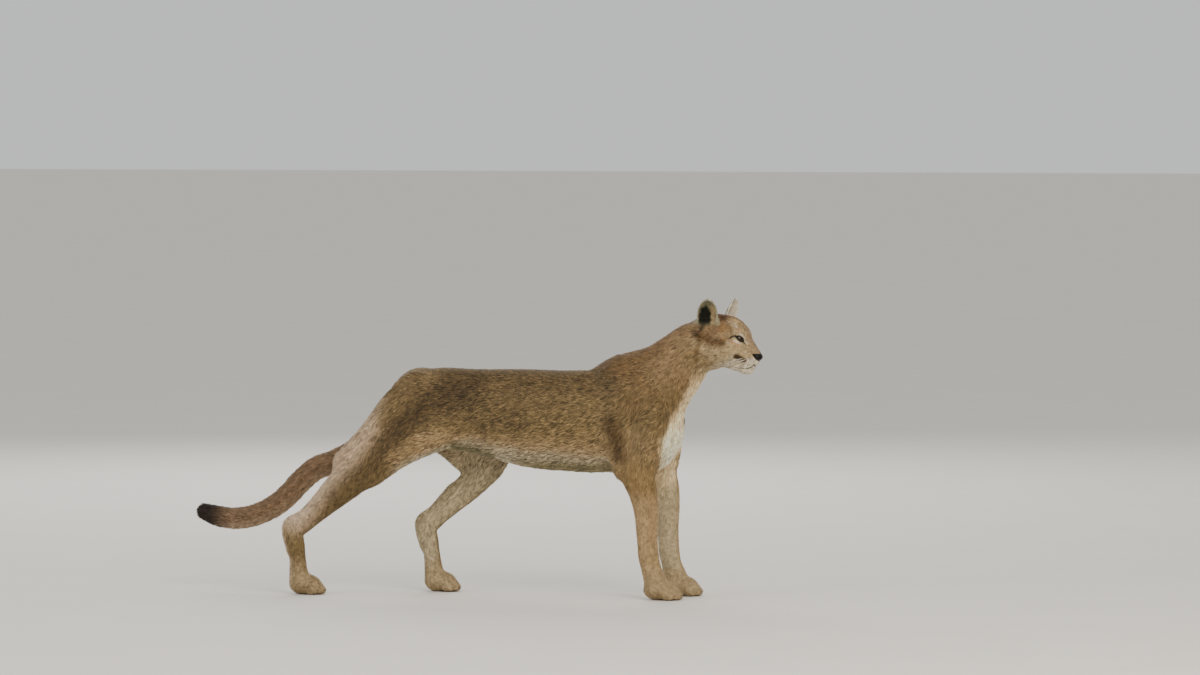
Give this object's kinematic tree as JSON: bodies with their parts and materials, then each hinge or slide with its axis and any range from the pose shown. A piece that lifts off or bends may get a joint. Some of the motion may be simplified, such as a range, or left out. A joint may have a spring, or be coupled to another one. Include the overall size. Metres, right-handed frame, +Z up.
{
  "type": "cougar figure",
  "caption": "Life-size adult cougar standing alert, head raised and turned to its right, with one hind leg stretched back and the tail low behind.",
  "frame": {"origin": "middle of the whole body's box, on the floor that the soles stand on", "axes": "+X from the tail to the nose, +Y to the animal's left, +Z up"},
  "size_m": [1.58, 0.257, 0.8084],
  "materials": {
    "coat": "short matte tawny fur",
    "coat_pale": "short matte buff fur",
    "skin": "bare dark nose, lid rim and pad skin, slightly moist",
    "eye": "wet, clear, brown iris with a round black pupil"
  },
  "bodies": {
    "root": {"torso": "coat", "neck": "coat", "head": "coat", "ear_right": "coat", "ear_left": "coat", "eye_right": "eye", "eye_left": "eye", "foreleg_right": "coat_pale", "foreleg_left": "coat_pale", "forepaw_right": "coat_pale", "forepaw_left": "coat_pale", "thigh_right": "coat", "thigh_left": "coat", "shank_right": "coat_pale", "shank_left": "coat_pale", "hindpaw_right": "coat_pale", "hindpaw_left": "coat_pale", "tail_root": "coat", "tail_middle": "coat", "tail_tip": "coat"}
  },
  "joints": []
}
